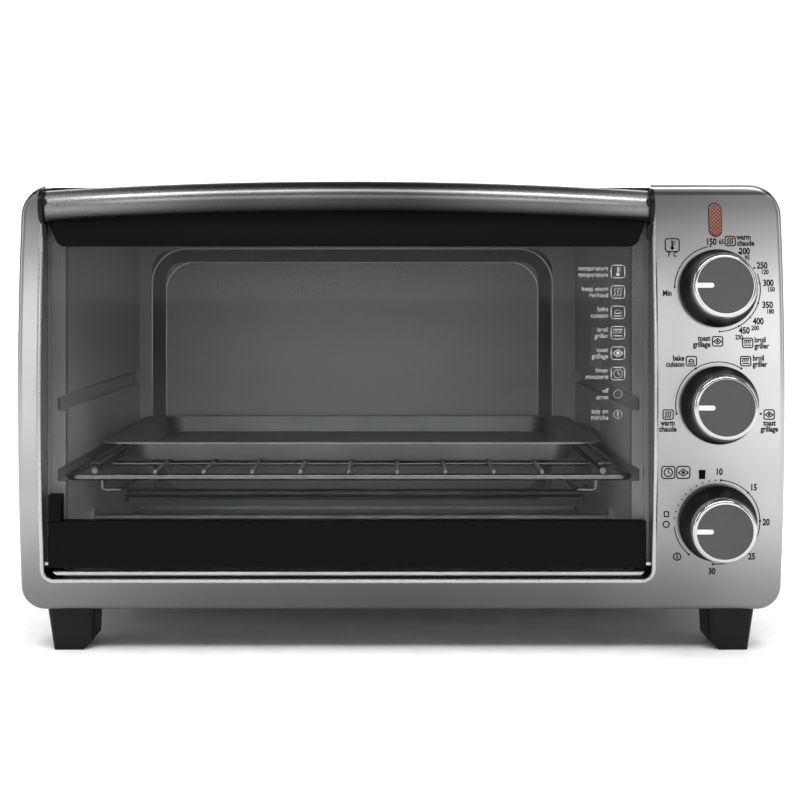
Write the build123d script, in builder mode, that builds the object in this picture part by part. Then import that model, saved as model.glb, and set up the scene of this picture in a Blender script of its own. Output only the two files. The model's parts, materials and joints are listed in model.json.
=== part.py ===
"""Countertop convection toaster oven with a drop-down glass door and three dials.

Millimetres. +X is to the right as the user faces the oven, +Y runs from front to back, +Z is up.
The origin is on the counter, under the centre of the overall box.
"""

import os
from math import cos, radians, sin, sqrt

from build123d import *

os.makedirs("parts", exist_ok=True)

# ---------------------------------------------------------------- driving dimensions
WIDTH = 482.0
DEPTH = 376.0  # from the front of the handle to the back of the rear bulge
TOP_Z = 298.0
PANEL_BOTTOM_Z = 28.0  # the feet are as tall as this

SHEET = 1.0  # liner sheet
SKIN = 0.8  # painted case sheet
PANEL_T = 1.5  # stainless front panel

# Front panel: a pressing that bulges forward in an arc from bottom to top
PANEL_APEX_Y = -158.0
PANEL_R = 726.0
PANEL_MID_Z = (TOP_Z + PANEL_BOTTOM_Z) / 2
PANEL_BACK_Y = -136.0
PANEL_TOP_CORNER = 20.0
PANEL_BOTTOM_CORNER = 15.0
PANEL_EDGE_R = 4.0

# Door opening in the panel, open at the top
OPEN_LEFT, OPEN_RIGHT = -225.6, 158.2
OPEN_BOTTOM = 48.2
OPEN_CORNER = 6.0
JAMB_BACK_Y = -140.0

# Door
DOOR_LEFT, DOOR_RIGHT = -223.0, 154.8
DOOR_MID_X = (DOOR_LEFT + DOOR_RIGHT) / 2
DOOR_FRONT_Y, DOOR_BACK_Y = -150.0, -141.0
DOOR_BOTTOM, DOOR_TOP = 55.3, 291.0
RAIL_TOP = 85.0  # top of the bottom rail
TOP_RAIL_BOTTOM = 258.5
GLASS_Y = (-149.0, -145.0)
GLASS_X = (-221.7, 153.5)
GLASS_Z = (80.0, 264.0)
HINGE_Y, HINGE_Z = -146.5, 57.6
PIN_R = 1.5
PIN_CLEARANCE = 0.05

# Cavity liner, inside faces
CAV_LEFT, CAV_RIGHT = -214.3, 147.5
CAV_MID_X = (CAV_LEFT + CAV_RIGHT) / 2
CAV_FRONT_Y, CAV_BACK_Y = -138.0, 142.0
CAV_FLOOR, CAV_CEILING = 48.7, 280.0
RAIL_DEPTH = 5.0
RAILS = ((108.7, 119.5), (154.0, 164.8))  # bottom and top of each rack channel
BUMP_DEPTH = 25.0
BUMP_FRONT = (-204.0, 128.3, 56.0, 264.6)  # left, right, bottom, top at the back wall
BUMP_BACK = (-196.0, 119.0, 61.0, 254.0)

# Case
CASE_HALF = WIDTH / 2 - PANEL_T - 0.2
CASE_TOP = TOP_Z - PANEL_T - 0.2
CASE_FRONT_Y, CASE_BACK_Y = -139.0, 160.0
REAR_BULGE = (-212.0, 137.0, 48.0, 272.0)

# Rack, pan and crumb tray
FRAME_WIRE_R, BAR_R = 2.25, 1.25
RACK_Z = 111.3
RACK_FRONT_Y, RACK_BACK_Y = -137.5, 126.0
BAR_PITCH, BAR_COUNT = 30.9, 9
BAR_Z = RACK_Z + FRAME_WIRE_R + BAR_R
PAN_Z = BAR_Z + BAR_R + 0.3
PAN_RIM_Z = 129.0
TRAY_Z = 49.0
TRAY_WALL_TOP, TRAY_LIP_TOP = 52.4, 53.0

# Dials
DIAL_X = 198.6
DIAL_Z = {"temperature": 231.8, "function": 159.0, "timer": 84.8}
SHAFT_R = 3.0
KNOB_BASE_R, RING_R, CAP_R = 24.5, 20.3, 17.4
KNOB_GAP = 1.0
KNOB_HEIGHT = 22.5

LIGHT_X, LIGHT_Z = 198.3, 275.2
FAN_Y, FAN_Z = 25.0, 187.0
GLAND_X, GLAND_Z = 196.0, 62.0


def save(part, name):
    """Writes one finished sub-part; the file's name is the node's name."""
    part.label = name
    export_step(part, f"parts/{name}.step")


def box(x, y, z, mode=Mode.ADD):
    """A box between two limits on each axis, inside the current part."""
    size = (x[1] - x[0], y[1] - y[0], z[1] - z[0])
    centre = ((x[0] + x[1]) / 2, (y[0] + y[1]) / 2, (z[0] + z[1]) / 2)
    with Locations(centre):
        Box(*size, mode=mode)


def rod(start, end, radius, mode=Mode.ADD):
    """A straight round rod from one point to another."""
    axis = Vector(*end) - Vector(*start)
    with BuildSketch(Plane(origin=start, z_dir=axis)) as end_face:
        Circle(radius)
    extrude(end_face.sketch, amount=axis.length, mode=mode)


def panel_y(z, inset=0.0):
    """Where the panel's face, or a face set back from it, lies at a height."""
    centre_y = PANEL_APEX_Y + PANEL_R
    return centre_y - sqrt((PANEL_R - inset) ** 2 - (z - PANEL_MID_Z) ** 2)


def bulged_block(inset, back_y):
    """The panel's outer form, or one set inside it, solid back to a plane."""
    low, high = PANEL_BOTTOM_Z + inset, TOP_Z - inset
    with BuildPart() as block:
        with BuildSketch(Plane.YZ):
            with BuildLine():
                face = ThreePointArc(
                    (panel_y(low, inset), low),
                    (PANEL_APEX_Y + inset, PANEL_MID_Z),
                    (panel_y(high, inset), high),
                )
                Polyline(face @ 1, (back_y, high), (back_y, low), face @ 0)
            make_face()
        extrude(amount=WIDTH / 2 - inset, both=True)
        with BuildSketch(Plane.XZ) as outline:
            with Locations((0, PANEL_MID_Z)):
                Rectangle(WIDTH - 2 * inset, high - low)
            fillet(outline.vertices().group_by(Axis.Y)[-1], PANEL_TOP_CORNER - inset)
            fillet(outline.vertices().group_by(Axis.Y)[0], PANEL_BOTTOM_CORNER - inset)
        extrude(amount=DEPTH, both=True, mode=Mode.INTERSECT)
        bulge = block.faces().filter_by(GeomType.CYLINDER).sort_by(SortBy.AREA)[-1]
        fillet(bulge.edges(), PANEL_EDGE_R - inset)
    return block.part


def opening_outline(grow):
    """Door opening, rounded at its two lower corners, running out through the panel's top."""
    left, right = OPEN_LEFT - grow, OPEN_RIGHT + grow
    bottom, top = OPEN_BOTTOM - grow, TOP_Z + 20
    with Locations(((left + right) / 2, (bottom + top) / 2)):
        outline = Rectangle(right - left, top - bottom)
    fillet(outline.vertices().group_by(Axis.Y)[0], OPEN_CORNER + grow)


def opening_jamb():
    """The turned-in edge of the door opening."""
    with BuildPart() as jamb:
        with BuildSketch(Plane.XZ):
            opening_outline(PANEL_T)
        extrude(amount=DEPTH, both=True)
        with BuildSketch(Plane.XZ):
            opening_outline(0)
        extrude(amount=DEPTH, both=True, mode=Mode.SUBTRACT)
        add(bulged_block(0, JAMB_BACK_Y), mode=Mode.INTERSECT)
    return jamb.part


def dial_plane(name):
    """Plane on the panel's face under a dial, with its z axis pointing out at the user."""
    z = DIAL_Z[name]
    y = panel_y(z)
    normal = Vector(0, y - (PANEL_APEX_Y + PANEL_R), z - PANEL_MID_Z).normalized()
    return Plane(origin=(DIAL_X, y, z), x_dir=(1, 0, 0), z_dir=normal)


def radial(plane):
    """The plane through a dial's axis whose local x is the radius and local y the height."""
    return Plane(origin=plane.origin, x_dir=plane.x_dir, z_dir=-plane.y_dir)


def rounded(limits, corner):
    """A rounded rectangle from (left, right, bottom, top), in the current sketch."""
    left, right, bottom, top = limits
    with Locations(((left + right) / 2, (bottom + top) / 2)):
        RectangleRounded(right - left, top - bottom, corner)


def grown(limits, amount):
    left, right, bottom, top = limits
    return (left - amount, right + amount, bottom - amount, top + amount)


def bulge(front, back, y_front, y_back, corner, mode=Mode.ADD):
    """A drawn form: a rounded rectangle that tapers to a smaller one further back."""
    with BuildSketch(Plane.XZ.offset(-y_front)) as near:
        rounded(front, corner)
    with BuildSketch(Plane.XZ.offset(-y_back)) as far:
        rounded(back, corner - 4)
    loft([near.sketch, far.sketch], mode=mode)


# ---------------------------------------------------------------- front panel
with BuildPart() as front_panel:
    add(bulged_block(0, PANEL_BACK_Y))
    add(bulged_block(PANEL_T, PANEL_BACK_Y + 1), mode=Mode.SUBTRACT)
    with BuildSketch(Plane.XZ):
        opening_outline(0)
    extrude(amount=DEPTH, both=True, mode=Mode.SUBTRACT)

    add(opening_jamb())

    for dial in DIAL_Z:
        with BuildSketch(dial_plane(dial)):
            Circle(5.6)
        extrude(amount=6, both=True, mode=Mode.SUBTRACT)
    with BuildSketch(Plane.XZ.offset(-PANEL_BACK_Y)):
        with Locations((LIGHT_X, LIGHT_Z)):
            SlotOverall(21.8, 8.7, rotation=90)
    extrude(amount=30, mode=Mode.SUBTRACT)
    rod((OPEN_LEFT - 3, HINGE_Y, HINGE_Z), (OPEN_RIGHT + 3, HINGE_Y, HINGE_Z), 2.0, Mode.SUBTRACT)
save(front_panel.part, "front_panel")

# ---------------------------------------------------------------- outer case
SLOT_W, SLOT_H, SLOT_PITCH = 34.0, 3.2, 8.0

def arch(half_width, bottom, top, corner):
    """A rectangle with its two upper corners rounded, in the current sketch."""
    with Locations((0, (top + bottom) / 2)):
        outline = Rectangle(2 * half_width, top - bottom)
    fillet(outline.vertices().group_by(Axis.Y)[-1], corner)


with BuildPart() as outer_wrap:
    wrap_corner = PANEL_TOP_CORNER - PANEL_T
    with BuildSketch(Plane.XZ.offset(-CASE_BACK_Y)):
        arch(CASE_HALF, PANEL_BOTTOM_Z + PANEL_BOTTOM_CORNER, CASE_TOP, wrap_corner)
    extrude(amount=CASE_BACK_Y - CASE_FRONT_Y)
    with BuildSketch(Plane.XZ.offset(-CASE_BACK_Y)):
        arch(CASE_HALF - SKIN, PANEL_BOTTOM_Z, CASE_TOP - SKIN, wrap_corner - SKIN)
    extrude(amount=CASE_BACK_Y - CASE_FRONT_Y, mode=Mode.SUBTRACT)
    # Vent slots: two columns on the control side, one on the other, near the top
    with BuildSketch(Plane.YZ):
        with Locations((30, 200), (80, 200)):
            with GridLocations(0, SLOT_PITCH, 1, 12):
                SlotOverall(SLOT_W, SLOT_H)
    extrude(amount=WIDTH, mode=Mode.SUBTRACT)
    with BuildSketch(Plane.YZ):
        with Locations((90, 225)):
            with GridLocations(0, SLOT_PITCH, 1, 8):
                SlotOverall(SLOT_W, SLOT_H)
    extrude(amount=-WIDTH, mode=Mode.SUBTRACT)
save(outer_wrap.part, "outer_wrap")

with BuildPart() as rear_cover:
    cover = (-CASE_HALF, CASE_HALF, PANEL_BOTTOM_Z + 2, CASE_TOP)
    with BuildSketch(Plane.XZ.offset(-(CASE_BACK_Y + SKIN))):
        rounded(cover, PANEL_BOTTOM_CORNER)
    extrude(amount=SKIN)
    back_y = DEPTH / 2
    bulge(REAR_BULGE, grown(REAR_BULGE, -10), CASE_BACK_Y + SKIN, back_y, 20)
    bulge(
        grown(REAR_BULGE, -SKIN),
        grown(REAR_BULGE, -10 - SKIN),
        CASE_BACK_Y,
        back_y - SKIN,
        19,
        Mode.SUBTRACT,
    )
    # Vents beside the bulge, behind the controls
    with BuildSketch(Plane.XZ):
        with Locations((188, 210)):
            with GridLocations(0, SLOT_PITCH, 1, 10):
                SlotOverall(SLOT_W, SLOT_H)
    extrude(amount=-DEPTH, mode=Mode.SUBTRACT)
    rod((GLAND_X, CASE_BACK_Y - 5, GLAND_Z), (GLAND_X, CASE_BACK_Y + 5, GLAND_Z), 8.0, Mode.SUBTRACT)
save(rear_cover.part, "rear_cover")

FOOT_X, FOOT_FRONT_Y, FOOT_REAR_Y = 212.0, -119.5, 130.0
FOOT_SPOTS = [(x, y) for y in (FOOT_FRONT_Y, FOOT_REAR_Y) for x in (-FOOT_X, FOOT_X)]
BASE_Z = (PANEL_BOTTOM_Z + PANEL_T + 0.2, PANEL_BOTTOM_Z + PANEL_T + 0.2 + SKIN)
BASE_HALF = CASE_HALF - SKIN - 0.2


def trough(half_width, bottom, top, corner):
    """A rectangle with its two lower corners rounded, in the current sketch."""
    with Locations((0, (top + bottom) / 2)):
        outline = Rectangle(2 * half_width, top - bottom)
    fillet(outline.vertices().group_by(Axis.Y)[0], corner)


with BuildPart() as base_plate:
    base_top = BASE_Z[0] + 18
    base_depth = CASE_BACK_Y - PANEL_BACK_Y - 0.5
    with BuildSketch(Plane.XZ.offset(-CASE_BACK_Y)):
        trough(BASE_HALF, BASE_Z[0], base_top, PANEL_BOTTOM_CORNER - 2)
    extrude(amount=base_depth)
    with BuildSketch(Plane.XZ.offset(-(CASE_BACK_Y - SKIN))):
        trough(BASE_HALF - SKIN, BASE_Z[1], base_top + 1, PANEL_BOTTOM_CORNER - 3.2)
    extrude(amount=base_depth, mode=Mode.SUBTRACT)
    with Locations(*[(x, y, BASE_Z[1]) for x, y in FOOT_SPOTS]):
        Hole(2.2)
    with BuildSketch(Plane.XY):
        with GridLocations(60, 26, 5, 3):
            SlotOverall(30, 4)
    extrude(amount=60, mode=Mode.SUBTRACT)
save(base_plate.part, "base_plate")

# ---------------------------------------------------------------- feet
FOOT_TOP_HALF, FOOT_BOTTOM_HALF = 15.5, 12.5
FOOT_DEPTH = 16.0



def foot(x, y):
    """One foot: tapered outer side, slanted cut at the inner bottom edge, hole for its screw."""
    outward = 1 if x > 0 else -1
    with BuildPart() as block:
        with BuildSketch(Plane.XY.offset(BASE_Z[0])):
            with Locations((x, y)):
                RectangleRounded(2 * FOOT_TOP_HALF, 2 * FOOT_DEPTH, 4)
        with BuildSketch(Plane.XY):
            with Locations((x - outward * 1.5, y)):
                RectangleRounded(2 * FOOT_BOTTOM_HALF, 2 * FOOT_DEPTH - 2, 3)
        loft()
        inner_x = x - outward * (FOOT_BOTTOM_HALF + 1.5)
        with BuildSketch(Plane.XZ.offset(-(y + FOOT_DEPTH + 1))):
            with BuildLine():
                Polyline(
                    (inner_x - outward * 6, -1),
                    (inner_x + outward * 7, -1),
                    (inner_x - outward * 3, 9),
                    (inner_x - outward * 6, 9),
                    close=True,
                )
            make_face()
        extrude(amount=2 * FOOT_DEPTH + 2, mode=Mode.SUBTRACT)
        rod((x, y, -1), (x, y, 20), 5.0, Mode.SUBTRACT)
        rod((x, y, 0), (x, y, 40), 2.2, Mode.SUBTRACT)
    return block.part


with BuildPart() as feet:
    for spot in FOOT_SPOTS:
        add(foot(*spot))
save(feet.part, "feet")

with BuildPart() as foot_screws:
    for x, y in FOOT_SPOTS:
        rod((x, y, 17.6), (x, y, 20), 4.2)
        rod((x, y, 20), (x, y, 40), 2.0)
save(foot_screws.part, "foot_screws")

# ---------------------------------------------------------------- cavity liner


def wall_outline(inner_x, outward):
    """Cross-section of a side wall: a sheet with two channels pressed outward for the rack."""
    inside, outside = [(0, CAV_FLOOR)], [(SHEET, CAV_FLOOR)]
    for low, high in RAILS:
        inside += [(0, low), (RAIL_DEPTH, low), (RAIL_DEPTH, high - 3), (0, high)]
        outside += [
            (SHEET, low - SHEET),
            (RAIL_DEPTH + SHEET, low - SHEET),
            (RAIL_DEPTH + SHEET, high - 3 + SHEET),
            (SHEET, high + SHEET),
        ]
    inside.append((0, CAV_CEILING))
    outside.append((SHEET, CAV_CEILING))
    return [(inner_x + outward * x, z) for x, z in inside + outside[::-1]]


HEATER_R = 3.2
UPPER_HEATER_Z, LOWER_HEATER_Z = 271.0, 72.0
HEATERS = [(-45, UPPER_HEATER_Z), (60, UPPER_HEATER_Z), (-55, LOWER_HEATER_Z), (70, LOWER_HEATER_Z)]
BUSHING_R = 5.0


def side_wall(inner_x, outward, flange_x):
    """One side wall with its front flange, channel mouths and heater holes."""
    with BuildPart() as wall:
        with BuildSketch(Plane.XZ.offset(-CAV_BACK_Y)):
            with BuildLine():
                Polyline(*wall_outline(inner_x, outward), close=True)
            make_face()
        extrude(amount=CAV_BACK_Y - CAV_FRONT_Y)
        flange = sorted((inner_x, flange_x))
        box(flange, (CAV_FRONT_Y, CAV_FRONT_Y + SHEET), (CAV_FLOOR + 6, CAV_CEILING))
        for low, high in RAILS:
            with BuildSketch(Plane.XZ.offset(-(CAV_FRONT_Y + 3))):
                with BuildLine():
                    Polyline(
                        (inner_x - outward, low),
                        (inner_x + outward * RAIL_DEPTH, low),
                        (inner_x + outward * RAIL_DEPTH, high - 3),
                        (inner_x - outward, high + 0.6),
                        close=True,
                    )
                make_face()
            extrude(amount=6, mode=Mode.SUBTRACT)
        for y, z in HEATERS:
            rod((inner_x - 8, y, z), (inner_x + 8, y, z), BUSHING_R, Mode.SUBTRACT)
    return wall.part


with BuildPart() as cavity_left_wall:
    add(side_wall(CAV_LEFT, -1, OPEN_LEFT - 0.9))
    # Slot in the flange for the door's stay arm
    box((-221.6, -216.0), (CAV_FRONT_Y - 2, CAV_FRONT_Y + 4), (85.0, 99.5), Mode.SUBTRACT)
save(cavity_left_wall.part, "cavity_left_wall")

with BuildPart() as cavity_right_wall:
    add(side_wall(CAV_RIGHT, 1, OPEN_RIGHT + 0.9))
    with BuildSketch(Plane.YZ.offset(CAV_RIGHT - 3)):
        # Exhaust holes, then the fan's air slots above and below the upper channel
        with Locations((21, 232)):
            with GridLocations(15, 5.2, 3, 4):
                Rectangle(10, 2.6)
        with Locations((FAN_Y, FAN_Z)):
            for number in range(7):
                with Locations(((number - 3) * 8, 0)):
                    SlotOverall(32, 3.4, rotation=90 + (number - 3) * 5)
        with Locations((FAN_Y, 136)):
            with GridLocations(8, 0, 6, 1):
                SlotOverall(22, 3.4, rotation=90)
        with Locations((FAN_Y, 88)):
            with GridLocations(8, 0, 5, 1):
                SlotOverall(18, 3.4, rotation=75)
    extrude(amount=6, mode=Mode.SUBTRACT)
save(cavity_right_wall.part, "cavity_right_wall")

with BuildPart() as cavity_top:
    box((CAV_LEFT - SHEET, CAV_RIGHT + SHEET), (CAV_FRONT_Y, CAV_BACK_Y), (CAV_CEILING, CAV_CEILING + SHEET))
    box((CAV_LEFT, CAV_RIGHT), (CAV_FRONT_Y, CAV_FRONT_Y + SHEET), (CAV_CEILING, CASE_TOP - SKIN - 0.2))
save(cavity_top.part, "cavity_top")

with BuildPart() as cavity_floor:
    box((CAV_LEFT - SHEET, CAV_RIGHT + SHEET), (CAV_FRONT_Y, CAV_BACK_Y), (CAV_FLOOR - SHEET, CAV_FLOOR))
    for x in (CAV_LEFT - SHEET, CAV_RIGHT):
        box((x, x + SHEET), (CAV_FRONT_Y + 24, CAV_BACK_Y), (BASE_Z[1], CAV_FLOOR))
save(cavity_floor.part, "cavity_floor")

with BuildPart() as cavity_back:
    sheet = (CAV_LEFT - 8, CAV_RIGHT + 8, CAV_FLOOR - SHEET, CAV_CEILING + SHEET)
    box(sheet[:2], (CAV_BACK_Y, CAV_BACK_Y + SHEET), sheet[2:])
    bulge(
        grown(BUMP_FRONT, SHEET),
        grown(BUMP_BACK, SHEET),
        CAV_BACK_Y + SHEET,
        CAV_BACK_Y + BUMP_DEPTH + SHEET,
        19,
    )
    bulge(BUMP_FRONT, BUMP_BACK, CAV_BACK_Y, CAV_BACK_Y + BUMP_DEPTH, 18, Mode.SUBTRACT)
save(cavity_back.part, "cavity_back")

# ---------------------------------------------------------------- heaters
BUSHING_FLANGE = 2.5

for name, height in (("upper_heaters", UPPER_HEATER_Z), ("lower_heaters", LOWER_HEATER_Z)):
    with BuildPart() as heaters:
        for y, z in HEATERS:
            if z == height:
                rod((CAV_LEFT - 10, y, z), (CAV_RIGHT + 10, y, z), HEATER_R)
                rod((CAV_LEFT - 19, y, z), (CAV_LEFT - 10, y, z), 1.5)
                rod((CAV_RIGHT + 10, y, z), (CAV_RIGHT + 20, y, z), 1.5)
    save(heaters.part, name)

with BuildPart() as heater_insulators:
    for y, z in HEATERS:
        for wall_x, outward in ((CAV_LEFT, -1), (CAV_RIGHT, 1)):
            neck = wall_x + outward * 6
            rod((wall_x - outward * BUSHING_FLANGE, y, z), (wall_x, y, z), BUSHING_R + 1.8)
            rod((wall_x, y, z), (neck, y, z), BUSHING_R - 0.1)
            rod((wall_x - outward * 4, y, z), (neck + outward, y, z), HEATER_R + 0.05, Mode.SUBTRACT)
save(heater_insulators.part, "heater_insulators")

# ---------------------------------------------------------------- convection fan
MOTOR_X = (172.0, 200.0)

with BuildPart() as fan_motor:
    with BuildSketch(Plane.YZ.offset(MOTOR_X[0])):
        with Locations((FAN_Y, FAN_Z)):
            RectangleRounded(56, 46, 5)
    extrude(amount=MOTOR_X[1] - MOTOR_X[0])
    rod((MOTOR_X[0] - 5, FAN_Y, FAN_Z), (MOTOR_X[0], FAN_Y, FAN_Z), 6)
    # Two legs that stand off the cavity wall
    for y in (FAN_Y - 40, FAN_Y + 40):
        box((CAV_RIGHT + SHEET, MOTOR_X[0] + 4), (y - 4, y + 4), (FAN_Z + 6, FAN_Z + 8))
        box((MOTOR_X[0], MOTOR_X[0] + 4), sorted((y, FAN_Y)), (FAN_Z + 6, FAN_Z + 14))
    rod((MOTOR_X[0] - 6, FAN_Y, FAN_Z), (MOTOR_X[0] + 12, FAN_Y, FAN_Z), 2.1, Mode.SUBTRACT)
save(fan_motor.part, "fan_motor")

with BuildPart() as fan_shaft:
    rod((154.0, FAN_Y, FAN_Z), (MOTOR_X[0] + 11, FAN_Y, FAN_Z), 2.05)
save(fan_shaft.part, "fan_shaft")

FAN_BLADES = 6
FAN_R = 31.0

with BuildPart() as fan_blade:
    rod((155.0, FAN_Y, FAN_Z), (162.0, FAN_Y, FAN_Z), 7)
    rod((158.0, FAN_Y, FAN_Z), (159.2, FAN_Y, FAN_Z), 18)
    for number in range(FAN_BLADES):
        turn = radians(number * 360 / FAN_BLADES)
        along = Vector(0, cos(turn), sin(turn))
        middle = Vector(158.6, FAN_Y, FAN_Z) + along * (FAN_R + 14) / 2
        pitched = Plane(origin=middle, x_dir=along, z_dir=Vector(1, 0, 0)).rotated((28, 0, 0))
        with BuildSketch(pitched):
            RectangleRounded(FAN_R - 14, 14, 4)
        extrude(amount=0.6, both=True)
    rod((150.0, FAN_Y, FAN_Z), (170.0, FAN_Y, FAN_Z), 2.05, Mode.SUBTRACT)
save(fan_blade.part, "fan_blade")

# ---------------------------------------------------------------- indicator light
with BuildPart() as indicator_lens:
    light_y = panel_y(LIGHT_Z)
    light_lean = Vector(0, light_y - (PANEL_APEX_Y + PANEL_R), LIGHT_Z - PANEL_MID_Z).normalized()
    light_plane = Plane(origin=(LIGHT_X, light_y, LIGHT_Z), x_dir=(1, 0, 0), z_dir=light_lean)
    with BuildSketch(light_plane.offset(-2.5)):
        SlotOverall(21.0, 8.0, rotation=90)
    extrude(amount=3.3)
    fillet(indicator_lens.faces().sort_by(Axis.Y)[0].edges(), 0.7)
    with BuildSketch(light_plane.offset(-2.8)):
        SlotOverall(26.0, 12.0, rotation=90)
    extrude(amount=-1.5)
    with BuildSketch(light_plane.offset(-2.8)):
        SlotOverall(21.0, 8.0, rotation=90)
    extrude(amount=0.5)
save(indicator_lens.part, "indicator_lens")

with BuildPart() as indicator_lamp:
    lamp_back = light_plane.offset(-20)
    with BuildSketch(lamp_back):
        Circle(3)
    extrude(amount=14)
    with BuildSketch(lamp_back):
        RectangleRounded(10, 16, 1)
    extrude(amount=4)
save(indicator_lamp.part, "indicator_lamp")

# ---------------------------------------------------------------- dials and their controls
PANEL_INSIDE = -PANEL_T - 0.3
CONTROLS = {
    "temperature": ("thermostat", 40, 30, 16),
    "function": ("function_switch", 44, 44, 24),
    "timer": ("timer", 54, 50, 30),
}

for dial, (control, width, height, depth) in CONTROLS.items():
    plane = dial_plane(dial)
    side = radial(plane)
    spin = Axis(plane.origin, plane.z_dir)

    with BuildPart() as body:
        with BuildSketch(plane.offset(PANEL_INSIDE - 1.5)):
            RectangleRounded(width, height, 3)
        extrude(amount=-depth)
        with BuildSketch(plane.offset(PANEL_INSIDE)):
            RectangleRounded(width + 14, 14, 3)
        extrude(amount=-1.5)
        with BuildSketch(plane.offset(PANEL_INSIDE)):
            Circle(5.2)
        extrude(amount=2.0)
        with BuildSketch(plane.offset(PANEL_INSIDE - depth + 1)):
            Circle(SHAFT_R + PIN_CLEARANCE)
        extrude(amount=60, mode=Mode.SUBTRACT)
    save(body.part, f"{control}_body")

    with BuildPart() as shaft:
        with BuildSketch(plane.offset(PANEL_INSIDE - depth + 1.4)):
            Circle(SHAFT_R)
        extrude(amount=depth - 1.4 - PANEL_INSIDE + 14)
    save(shaft.part, f"{control}_shaft")

    with BuildPart() as knob:
        with BuildSketch(side):
            with BuildLine():
                Line((0, KNOB_GAP), (KNOB_BASE_R, KNOB_GAP))
                Line((KNOB_BASE_R, KNOB_GAP), (KNOB_BASE_R, KNOB_GAP + 2.5))
                flank = ThreePointArc(
                    (KNOB_BASE_R, KNOB_GAP + 2.5), (RING_R + 1.1, 8.6), (RING_R - 0.6, 16.0)
                )
                Polyline(flank @ 1, (RING_R - 2.2, 16.0), (RING_R - 2.2, 21.0), (0, 21.0), (0, KNOB_GAP))
            make_face()
        revolve(axis=spin)
        with BuildSketch(plane):
            Circle(SHAFT_R)
        extrude(amount=14, mode=Mode.SUBTRACT)
    save(knob.part, f"{dial}_knob")

    with BuildPart() as ring:
        with BuildSketch(side):
            with BuildLine():
                Polyline(
                    (RING_R - 2.2, 21.0),
                    (RING_R - 2.2, 16.0),
                    (RING_R - 0.4, 16.0),
                    (RING_R, 16.6),
                    (RING_R, 19.2),
                )
                ThreePointArc((RING_R, 19.2), (RING_R - 0.7, 21.5), (CAP_R + 0.4, KNOB_HEIGHT))
                Polyline((CAP_R + 0.4, KNOB_HEIGHT), (CAP_R, KNOB_HEIGHT), (CAP_R, 21.0), (RING_R - 2.2, 21.0))
            make_face()
        revolve(axis=spin)
    save(ring.part, f"{dial}_knob_ring")

    pointer_length, pointer_width = 9.0, 3.0
    pointer_spot = (-(CAP_R - pointer_length / 2), 0)
    with BuildPart() as cap:
        with BuildSketch(plane.offset(21.0)):
            Circle(CAP_R)
            with Locations(pointer_spot):
                SlotOverall(pointer_length + 3, pointer_width, mode=Mode.SUBTRACT)
        extrude(amount=1.0)
    save(cap.part, f"{dial}_knob_cap")

    with BuildPart() as pointer:
        with BuildSketch(plane.offset(21.0)):
            with Locations(pointer_spot):
                SlotOverall(pointer_length + 3, pointer_width)
            Circle(CAP_R, mode=Mode.INTERSECT)
        extrude(amount=1.1)
    save(pointer.part, f"{dial}_knob_pointer")

with BuildPart() as timer_bell:
    bell_plane = dial_plane("timer").offset(PANEL_INSIDE - 31.6)
    with BuildSketch(bell_plane):
        Circle(19)
    extrude(amount=-9)
    fillet(timer_bell.edges().sort_by(Axis.Y)[-1], 0.8)
    with BuildSketch(bell_plane):
        Circle(18)
    extrude(amount=-8, mode=Mode.SUBTRACT)
save(timer_bell.part, "timer_bell")

# ---------------------------------------------------------------- cord gland
with BuildPart() as cord_gland:
    rear_face = CASE_BACK_Y + SKIN
    rod((GLAND_X, CASE_BACK_Y - 8, GLAND_Z), (GLAND_X, rear_face, GLAND_Z), 7.8)
    rod((GLAND_X, rear_face, GLAND_Z), (GLAND_X, rear_face + 4, GLAND_Z), 11)
    rod((GLAND_X, CASE_BACK_Y - 10, GLAND_Z), (GLAND_X, rear_face + 6, GLAND_Z), 3.8, Mode.SUBTRACT)
save(cord_gland.part, "cord_gland")

with BuildPart() as case_screws:
    spots = [(x, z) for x in (-226, 226) for z in (70, 250)] + [(-90, 288), (90, 288), (-90, 38), (90, 38)]
    for x, z in spots:
        rod((x, CASE_BACK_Y + SKIN, z), (x, CASE_BACK_Y + SKIN + 2.2, z), 3.6)
save(case_screws.part, "case_screws")

# ---------------------------------------------------------------- rack
RACK_SIDE = CAV_RIGHT - CAV_MID_X - 0.8
RACK_CORNER = 8.0
RUNNER_SPREAD, RUNNER_R = 162.3, 1.9
RUNNER_Z = RACK_Z + FRAME_WIRE_R + RUNNER_R

with BuildPart() as rack_frame:
    left, right = CAV_MID_X - RACK_SIDE, CAV_MID_X + RACK_SIDE
    corners = [
        (CAV_MID_X, RACK_FRONT_Y, RACK_Z),
        (right, RACK_FRONT_Y, RACK_Z),
        (right, RACK_BACK_Y, RACK_Z),
        (left, RACK_BACK_Y, RACK_Z),
        (left, RACK_FRONT_Y, RACK_Z),
    ]
    with BuildLine() as loop:
        FilletPolyline(*corners[1:], radius=RACK_CORNER, close=True)
    start = loop.wires()[0]
    with BuildSketch(Plane(origin=start @ 0, z_dir=start % 0)):
        Circle(FRAME_WIRE_R)
    sweep(path=start)
save(rack_frame.part, "rack_frame")

with BuildPart() as rack_bars:
    for number in range(BAR_COUNT):
        x = CAV_MID_X + (number - (BAR_COUNT - 1) / 2) * BAR_PITCH
        rod((x, RACK_FRONT_Y - 1.2, BAR_Z), (x, RACK_BACK_Y + 1.2, BAR_Z), BAR_R)
    for x in (CAV_MID_X - RUNNER_SPREAD, CAV_MID_X + RUNNER_SPREAD):
        rod((x, RACK_FRONT_Y - 1.2, RUNNER_Z), (x, RACK_BACK_Y + 1.2, RUNNER_Z), RUNNER_R)
save(rack_bars.part, "rack_bars")

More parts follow.
